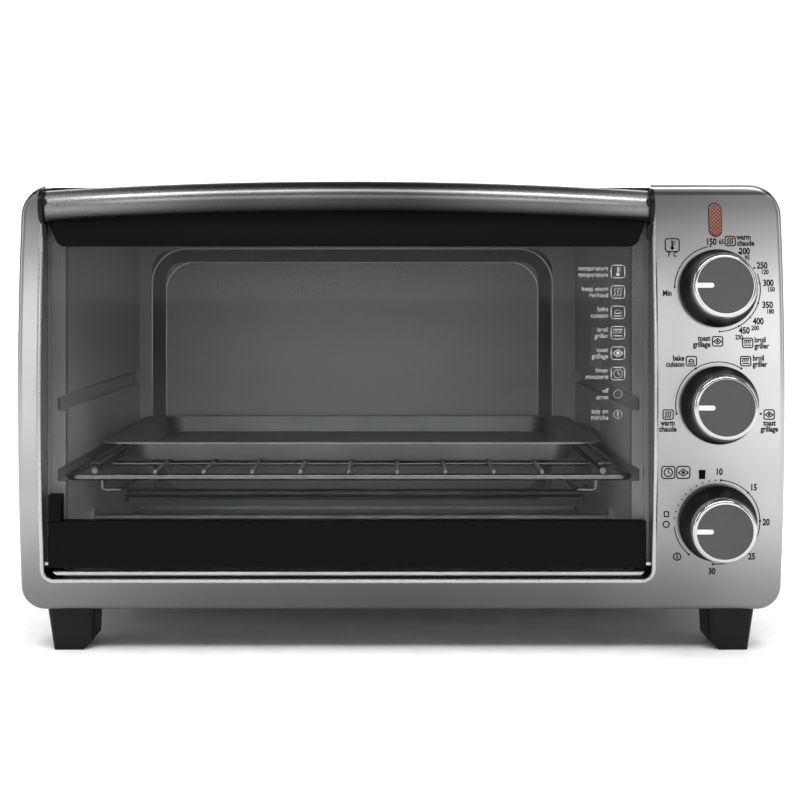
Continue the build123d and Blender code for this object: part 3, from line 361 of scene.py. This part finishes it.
# Bright metal for the painted highlight lines on the liner's back bends.
M_BEND_HIGHLIGHT = metal("painted_bend_highlight", (0.62, 0.61, 0.6), 0.4, grain_scale=600, depth=0.01)
M_RIM = metal("rolled_rim", grey(0.42), 0.3, grain_scale=700, depth=0.001, mottle=0.03)
M_WALL = galvanised("galvanised_wall", (0.9, 0.89, 0.87), 0.3)
M_ZINC = metal("zinc_plate", (0.5, 0.5, 0.51), 0.35, grain_scale=350, depth=0.05, mottle=0.15)
M_ENAMEL = moulded("black_enamel", grey(0.0022), 0.34, grain_scale=1200, depth=0, specular=0.05)
M_FOOT = moulded("black_foot_plastic", grey(0.004), 0.45, 1800, depth=0.2, specular=0.16)
M_INK = moulded("black_ink", grey(0.002), 0.6, grain_scale=4000, depth=0, specular=0.05)
M_WHITE_INK = moulded("white_ink", grey(0.42), 0.6, grain_scale=4000, depth=0)
M_FLOOR = moulded("pale_floor", grey(0.86), 0.9, grain_scale=60, depth=0, specular=0.1)

FINISHES = {
    "stainless": stainless_panel(),
    "handle_steel": handle_steel(),
    "black_paint": moulded("black_powder_coat", (0.008, 0.008, 0.0085), 0.42, 1500, 0.1, 0.35),
    "black_enamel": M_ENAMEL,
    "black_plastic": moulded("black_plastic", grey(0.0035), 0.3, specular=0.16),
    "grey_plastic": moulded("grey_plastic", (0.08, 0.08, 0.085), 0.5),
    "cap_grey": moulded("dial_cap_grey", (0.052, 0.052, 0.053), 0.42, 1800, 0.06, 0.3),
    "white_mark": moulded("white_pointer", grey(0.6), 0.35, grain_scale=3000, depth=0.03),
    "ceramic": moulded("ceramic", (0.3, 0.29, 0.27), 0.6, 900, 0.3),
    "liner": galvanised("galvanised_liner", (0.5, 0.49, 0.48), 0.7),
    "heater": metal("heater_tube", (0.24, 0.235, 0.23), 0.5, (0.2, 1, 1), 500, 0.1, 0.25),
    "wire": metal("plated_wire", grey(0.19), 0.2, grain_scale=700, depth=0.01),
    "pan_metal": metal("pressed_pan", (0.3, 0.3, 0.305), 0.42, (1, 0.3, 1), 420, 0.06, 0.14),
    "tray_metal": metal("tray_sheet", grey(0.4), 0.36, (0.1, 1, 1), depth=0.05),
    "chrome": metal("chrome_ring", (0.5, 0.5, 0.505), 0.18, (1, 1, 1), 500, 0.001, 0.01),
    "zinc": M_ZINC,
    "spring_steel": M_ZINC,
    "glass": clear_glass(),
    "lens": lens(),
}
OWN_FINISH = {
    "cavity_left_wall": M_WALL,
    "cavity_right_wall": M_WALL,
    "feet": M_FOOT,
    "door_arm_bracket": M_ENAMEL,
}


def dress_cad():
    """Gives each CAD node its own material, or else the one for its slot."""
    slots = {entry["node"]: entry["material_slot"] for entry in frame["record"]["subparts"]}
    for name, node in frame["nodes"].items():
        node.data.materials.clear()
        node.data.materials.append(OWN_FINISH.get(name, FINISHES[slots[name]]))


dress_cad()


# ---------------------------------------------------------------- mesh helpers
def surface(name, bm, material, smooth=True):
    """A new object made from a bmesh, with one material."""
    mesh = bpy.data.meshes.new(name)
    bm.to_mesh(mesh)
    bm.free()
    mesh.materials.append(material)
    for face in mesh.polygons:
        face.use_smooth = smooth
    obj = bpy.data.objects.new(name, mesh)
    bpy.context.scene.collection.objects.link(obj)
    return obj


def piece(name, bm, material, body, smooth=True):
    """A new piece that rides on one of the frame's bodies."""
    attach(surface(name, bm, material, smooth), body)


def skin(rows, closed=False):
    """Quads through rows of points; a closed skin joins its last row to its first."""
    bm = bmesh.new()
    rows = [[bm.verts.new(spot) for spot in row] for row in rows]
    for first, second in zip(rows, rows[1:] + rows[:1] if closed else rows[1:]):
        for step in range(len(first) - 1):
            bm.faces.new((first[step], second[step], second[step + 1], first[step + 1]))
    return bm


def bead(rows, closed=False):
    """A skin whose faces all look outwards."""
    bm = skin(rows, closed)
    bmesh.ops.recalc_face_normals(bm, faces=bm.faces)
    return bm


def quarter(x, z, radius, start, steps=8):
    """Points of a quarter turn about a centre, from a starting angle in degrees."""
    turns = [radians(start + 90 * step / steps) for step in range(steps + 1)]
    return [(x + radius * cos(turn), z + radius * sin(turn)) for turn in turns]


def rounded(left, right, bottom, top, corner, steps=8):
    """Points round a rectangle with rounded corners, starting at its upper right."""
    points = quarter(right - corner, top - corner, corner, 0, steps)
    points += quarter(left + corner, top - corner, corner, 90, steps)
    points += quarter(left + corner, bottom + corner, corner, 180, steps)
    points += quarter(right - corner, bottom + corner, corner, 270, steps)
    return points


# ---------------------------------------------------------------- bright edges of the sheet metal, and painted highlight lines on the liner's back bends
def opening_rim():
    """The rolled edge of the panel down both sides of the door opening and along its bottom."""
    heights = [PANEL_HIGH.z - RIM_TOP_GAP - step * RIM_STEP for step in range(RIM_STEPS)]
    corner_z = OPENING_BOTTOM + RIM_CORNER
    path = [(OPENING_LEFT, z) for z in heights]
    path += quarter(OPENING_LEFT + RIM_CORNER, corner_z, RIM_CORNER, 180)
    path += quarter(OPENING_RIGHT - RIM_CORNER, corner_z, RIM_CORNER, 270)
    path += [(OPENING_RIGHT, z) for z in reversed(heights)]
    middle_x = (OPENING_LEFT + OPENING_RIGHT) / 2
    rows = []
    for place, (x, z) in enumerate(path):
        before, after = path[max(place - 1, 0)], path[min(place + 1, len(path) - 1)]
        run = Vector((after[0] - before[0], 0, after[1] - before[1])).normalized()
        out = Vector((-run.z, 0, run.x))
        if out.dot(Vector((x - middle_x, 0, z - PANEL_MID_Z))) < 0:
            out = -out
        centre = Vector((x, panel_y(z) + RIM_R * RIM_SUNK, z)) + out * RIM_R * RIM_CLEAR
        ring = []
        for step in range(RIM_SIDES + 1):
            turn = radians(180 * step / RIM_SIDES)
            ring.append(centre - RIM_R * (out * cos(turn) + Vector((0, sin(turn), 0))))
        rows.append(ring)
    piece("opening_rim", bead(rows), M_RIM, "oven")


def bend_highlight(name, left, right, bottom, top, corner, y):
    """A painted highlight: a thin bead of bright metal along one rounded bend of the cavity's back wall."""
    middle = Vector(((left + right) / 2, y, (bottom + top) / 2))
    rows = []
    for x, z in rounded(left, right, bottom, top, corner):
        spot = Vector((x, y, z))
        out = (spot - middle).normalized() * BEND_R
        rows.append([spot + out, spot - Vector((0, BEND_RISE, 0)), spot - out])
    piece(name, bead(rows, closed=True), M_BEND_HIGHLIGHT, "oven")


opening_rim()
for bend_name, bend_shape in BEND_HIGHLIGHTS.items():
    bend_highlight(bend_name, *bend_shape)


# ---------------------------------------------------------------- printed marks
class Print:
    """Flat ink marks drawn in x and z, then laid onto a surface."""

    def __init__(self):
        self.bm = bmesh.new()

    def polygon(self, points):
        """A filled shape."""
        self.bm.faces.new([self.bm.verts.new((x, 0, z)) for x, z in points])

    def dot(self, x, z, radius, sides=20):
        """A filled round spot."""
        turns = [2 * pi * step / sides for step in range(sides)]
        self.polygon([(x + radius * cos(turn), z + radius * sin(turn)) for turn in turns])

    def line(self, points, width, closed=False):
        """A stroke of even width through the points; its parts overlap a little at the joins."""
        for (x0, z0), (x1, z1) in zip(points, points[1:] + points[:1] if closed else points[1:]):
            length = sqrt((x1 - x0) ** 2 + (z1 - z0) ** 2)
            if length == 0:
                continue
            along_x, along_z = (x1 - x0) / length * width / 2, (z1 - z0) / length * width / 2
            x0, z0 = x0 - along_x * JOIN_OVERLAP, z0 - along_z * JOIN_OVERLAP
            x1, z1 = x1 + along_x * JOIN_OVERLAP, z1 + along_z * JOIN_OVERLAP
            start = [(x0 - along_z, z0 + along_x), (x0 + along_z, z0 - along_x)]
            end = [(x1 + along_z, z1 - along_x), (x1 - along_z, z1 + along_x)]
            self.polygon(start + end)

    def circle(self, x, z, radius, width, start=0.0, end=360.0, steps=28):
        """A ring, or an arc between two angles."""
        turns = [radians(start + (end - start) * step / steps) for step in range(steps + 1)]
        self.line([(x + radius * cos(turn), z + radius * sin(turn)) for turn in turns], width)

    def frame(self, x, z, width, height, corner, stroke):
        """The outline of a rounded rectangle."""
        edges = (x - width / 2, x + width / 2, z - height / 2, z + height / 2)
        self.line(rounded(*edges, corner, 4), stroke, closed=True)

    def words(self, text, x, z, size, align="CENTER", weight=0.038, squeeze=0.8):
        """A line of text; `weight` thickens its strokes and `squeeze` narrows it."""
        curve = bpy.data.curves.new("words", "FONT")
        curve.body = text
        curve.size = 1.0
        curve.offset = weight
        curve.align_x = align
        curve.align_y = "CENTER"
        curve.resolution_u = 4
        holder = bpy.data.objects.new("words", curve)
        mesh = bpy.data.meshes.new_from_object(holder)
        mesh.transform(
            Matrix.Translation((x, 0, z))
            @ Matrix.Diagonal((size * squeeze, 1, size, 1))
            @ Matrix.Rotation(pi / 2, 4, "X")
        )
        self.bm.from_mesh(mesh)
        bpy.data.objects.remove(holder)
        bpy.data.curves.remove(curve)
        bpy.data.meshes.remove(mesh)

    def laid_on(self, surface_y):
        """Moves each point to just in front of a surface, facing the user."""
        for vert in self.bm.verts:
            vert.co.y = surface_y(vert.co.z) - INK_LIFT
        self.bm.normal_update()
        for face in self.bm.faces:
            if face.normal.y > 0:
                face.normal_flip()
        return self.bm


def icon(ink, kind, x, z, size=ICON, stroke=HAIR, boxed=True):
    """A plain cooking pictogram, mostly in a rounded frame."""
    unit = size / ICON_UNITS

    def line(points, weight=1.0, closed=False):
        places = [(x + across * unit, z + up * unit) for across, up in points]
        ink.line(places, stroke * weight, closed)

    if boxed:
        ink.frame(x, z, size, size * 0.92, 1.6 * unit, stroke)
    if kind == "thermometer":
        line([(0, -1.2), (0, 2.6)], 1.5)
        ink.dot(x, z - 1.7 * unit, 1.15 * unit)
        for up in (0.4, 1.3, 2.2):
            line([(0.9, up), (1.8, up)], 0.7)
    elif kind == "warm":
        for across in (-1.9, 0, 1.9):
            rise = [(part / 8 - 0.5) * 5.0 for part in range(9)]
            sway = [0.5 * sin(part / 8 * 2 * pi) for part in range(9)]
            line([(across + aside + up * 0.3, up) for up, aside in zip(rise, sway)])
    elif kind == "bake":
        line([(-2.6, -2.3), (2.6, -2.3)])
        ink.circle(x, z - 0.6 * unit, 2.1 * unit, stroke, 0, 180, 12)
        line([(-2.1, -0.6), (2.1, -0.6)])
    elif kind == "broil":
        line([(-2.8, 2.2), (2.8, 2.2)])
        for across in (-2.25, -0.75, 0.75, 2.25):
            line([(across, 1.4), (across - 0.7, -0.4)], 0.8)
        line([(-2.6, -1.9), (2.6, -1.9)])
    elif kind == "toast":
        slice_foot = [(-2.0, -2.2), (2.0, -2.2)]
        slice_crust = [(2.0, 1.2), (2.4, 2.0), (1.4, 2.6), (-1.4, 2.6), (-2.4, 2.0), (-2.0, 1.2)]
        line(slice_foot + slice_crust, closed=True)
    elif kind == "grid":
        line([(0, -2.3), (3.2, -0.2), (0, 2.3), (-3.2, -0.2)], closed=True)
        ink.dot(x, z, 1.1 * unit, 12)
    elif kind == "clock":
        ink.circle(x, z, 2.7 * unit, stroke)
        line([(0, 1.9), (0, 0), (1.2, -0.7)], 0.8)
    elif kind in ("off", "on"):
        ink.circle(x, z, 2.6 * unit, stroke)
        if kind == "on":
            line([(0, -1.6), (0, 1.6)])


class DialPrint:
    """Marks placed by their offset from one dial's axis, in millimetres."""

    def __init__(self, ink, dial):
        self.ink = ink
        self.x, _, self.z = JOINTS[f"{dial}_dial_turn"]["pos_m"]

    def spot(self, across, up):
        """An offset as a place on the panel."""
        return self.x + across * MM, self.z + up * MM

    def words(self, text, across, up, size=FIGURE, align="CENTER"):
        """Text whose lines are parted by slashes."""
        for row, line in enumerate(text.split("/")):
            place = self.spot(across, up - row * size * LINE_PITCH)
            self.ink.words(line, *place, size * MM, align)

    def icon(self, kind, across, up, size=6.4, boxed=True):
        """A pictogram of a size in millimetres."""
        icon(self.ink, kind, *self.spot(across, up), size * MM, boxed=boxed)

    def setting(self, kind, place, names, names_place, align="CENTER"):
        """A pictogram with its name in two languages beside or below it."""
        self.icon(kind, *place)
        self.words(names, *names_place, WORD, align)

    def ticks(self, turns, radius):
        """Dots at clock angles: 0 is up, and they run clockwise."""
        for turn in turns:
            x, z = sin(radians(turn)) * SCALE_R, cos(radians(turn)) * SCALE_R
            self.ink.dot(self.x + x, self.z + z, radius * MM, 12)

    def arc(self, start, end):
        """A thin line around the dial between two clock angles."""
        self.ink.circle(self.x, self.z, SCALE_R, SCALE_LINE, 90 - start, 90 - end, 40)


def print_temperature(ink):
    """Scale of the top dial, in Fahrenheit with smaller Celsius figures."""
    heat = DialPrint(ink, "temperature")
    heat.arc(-88, -12)
    heat.arc(70, 178)
    heat.ticks((-88, -8, 32, 61, 83, 110, 132, 151, 178), 0.65)
    for figures, across, up, celsius, aside, below in (
        ("150", -3.2, 29.4, "65", 6.4, 0.0),
        ("200", 17.6, 23.4, "95", 1.6, 4.0),
        ("250", 28.4, 14.4, "120", 1.6, 4.0),
        ("300", 32.0, 3.4, "150", 1.6, 4.0),
        ("350", 31.2, -10.4, "180", 1.6, 4.0),
        ("400", 25.2, -20.6, "200", -2.0, 4.2),
        ("450", 16.4, -26.4, "230", -3.4, 4.2),
    ):
        heat.words(figures, across, up)
        heat.words(celsius, across + aside, up - below, CELSIUS)
    heat.words("Min", -31.6, -3.0, WORD)
    heat.icon("thermometer", -27.8, 27.4, 8.8)
    heat.words("F  C", -27.8, 21.4, CELSIUS)
    heat.setting("warm", (8.8, 30.0), "warm/chaude", (13.0, 32.4), "LEFT")
    heat.setting("broil", (18.4, -34.0), "broil/griller", (22.6, -32.2), "LEFT")
    heat.setting("grid", (-0.5, -33.0), "toast/grillage", (-5.0, -31.2), "RIGHT")


def print_function(ink):
    """The four settings of the middle dial."""
    mode = DialPrint(ink, "function")
    mode.arc(-102, 32)
    mode.ticks((-102, -32, 32, 102), 0.75)
    mode.setting("bake", (-17.0, 27.4), "bake/cuisson", (-21.4, 29.2), "RIGHT")
    mode.setting("broil", (17.0, 27.4), "broil/griller", (21.4, 29.2), "LEFT")
    mode.setting("warm", (-31.6, -6.0), "warm/chaude", (-31.8, -11.4))
    mode.setting("grid", (31.6, -6.0), "toast/grillage", (31.8, -11.4))


def print_timer(ink):
    """Scale of the bottom dial: toast shades on its left, minutes on its right."""
    timer = DialPrint(ink, "timer")
    timer.arc(4, 184)
    timer.arc(-140, -96)
    timer.ticks(range(-84, 0, 9), 0.5)
    timer.ticks((4, 45, 88, 134, 184, -140), 0.75)
    minutes = (("10", 0.6, 32.0), ("15", 22.4, 22.2), ("20", 30.8, 0))
    minutes += (("25", 22.4, -22.0), ("30", -2.4, -31.6))
    for figures, across, up in minutes:
        timer.words(figures, across, up)
    timer.icon("clock", -31.2, 31.8, 8.2)
    timer.icon("grid", -21.8, 31.8, 8.2)
    # The darkest shade is a slice of toast filled with ink: its body, then its wider crust.
    x, z = timer.spot(-10.0, 31.0)
    ink.line([(x, z - 2.2 * MM), (x, z + 1.2 * MM)], 4 * MM)
    ink.line([(x - 1.6 * MM, z + 1.3 * MM), (x + 1.6 * MM, z + 1.3 * MM)], 1.8 * MM)
    timer.icon("toast", -32.0, 5.2, 5.6, boxed=False)
    timer.icon("off", -32.0, -1.2, 6.4, boxed=False)
    timer.icon("on", -24.6, -22.0, 7.6, boxed=False)


def print_panel():
    """The black print around the three dials."""
    ink = Print()
    print_temperature(ink)
    print_function(ink)
    print_timer(ink)
    piece("panel_print", ink.laid_on(panel_y), M_INK, "oven", smooth=False)


def print_glass():
    """The guide on the glass: a column of pictograms with their names to the left."""
    ink = Print()
    column_x = GLASS_HIGH.x - GUIDE_IN
    top_z = GLASS_HIGH.z - GUIDE_DOWN
    guide = (
        ("thermometer", "temperature/temperature"),
        ("warm", "keep warm/rechaud"),
        ("bake", "bake/cuisson"),
        ("broil", "broil/griller"),
        ("grid", "toast/grillage"),
        ("clock", "timer/minuterie"),
        ("off", "off/arret"),
        ("on", "stay on/marche"),
    )
    for row, (kind, names) in enumerate(guide):
        z = top_z - row * GUIDE_PITCH
        icon(ink, kind, column_x, z, ICON, GUIDE_STROKE, kind not in ("off", "on"))
        for line, name in enumerate(names.split("/")):
            place = (column_x - GUIDE_GAP, z + (GUIDE_LINE_UP - line * GUIDE_LINE_PITCH) * MM)
            ink.words(name, *place, GUIDE_WORD, "RIGHT", GUIDE_WEIGHT, GUIDE_SQUEEZE)
    piece("glass_print", ink.laid_on(lambda z: GLASS_LOW.y), M_WHITE_INK, "door", smooth=False)


print_panel()
print_glass()


# ---------------------------------------------------------------- studio
def sweep_floor():
    """The pale floor, which curves up behind the oven."""
    outline = [(FLOOR_FRONT, 0.0)]
    outline += quarter(FLOOR_BACK - BACKDROP_SWEEP, BACKDROP_SWEEP, BACKDROP_SWEEP, -90, 12)
    outline.append((FLOOR_BACK, BACKDROP_HEIGHT))
    rows = [[(x, y, z) for y, z in outline] for x in (-FLOOR_HALF_WIDTH, FLOOR_HALF_WIDTH)]
    floor = surface("floor", skin(rows), M_FLOOR)


def softbox(name, place, target, width, depth, power, mirrored):
    """A rectangular lamp that faces a point."""
    light = bpy.data.lights.new(name, "AREA")
    light.shape = "RECTANGLE"
    light.size, light.size_y = width, depth
    light.energy = power
    lamp = bpy.data.objects.new(name, light)
    lamp.location = place
    aim = Vector(target) - Vector(place)
    lamp.rotation_euler = aim.to_track_quat("-Z", "Y").to_euler()
    lamp.visible_glossy = mirrored
    bpy.context.scene.collection.objects.link(lamp)


def studio():
    """Floor, soft lights, dim surroundings and the camera."""
    scene = bpy.context.scene
    sweep_floor()
    for settings in SOFTBOXES:
        softbox(*settings)

    world = bpy.data.worlds.new("studio")
    world.use_nodes = True
    world.node_tree.nodes["Background"].inputs["Color"].default_value = WORLD_GREY
    scene.world = world
    scene.view_settings.view_transform = "Standard"

    view = bpy.data.cameras.new("camera")
    view.sensor_width = CAMERA_SENSOR
    view.lens = CAMERA_LENS
    view.shift_x, view.shift_y = CAMERA_SHIFT
    view.clip_start = 0.05
    camera = bpy.data.objects.new("camera", view)
    camera.location = CAMERA_PLACE
    camera.rotation_euler = (radians(90), 0, 0)
    scene.collection.objects.link(camera)
    scene.camera = camera


studio()
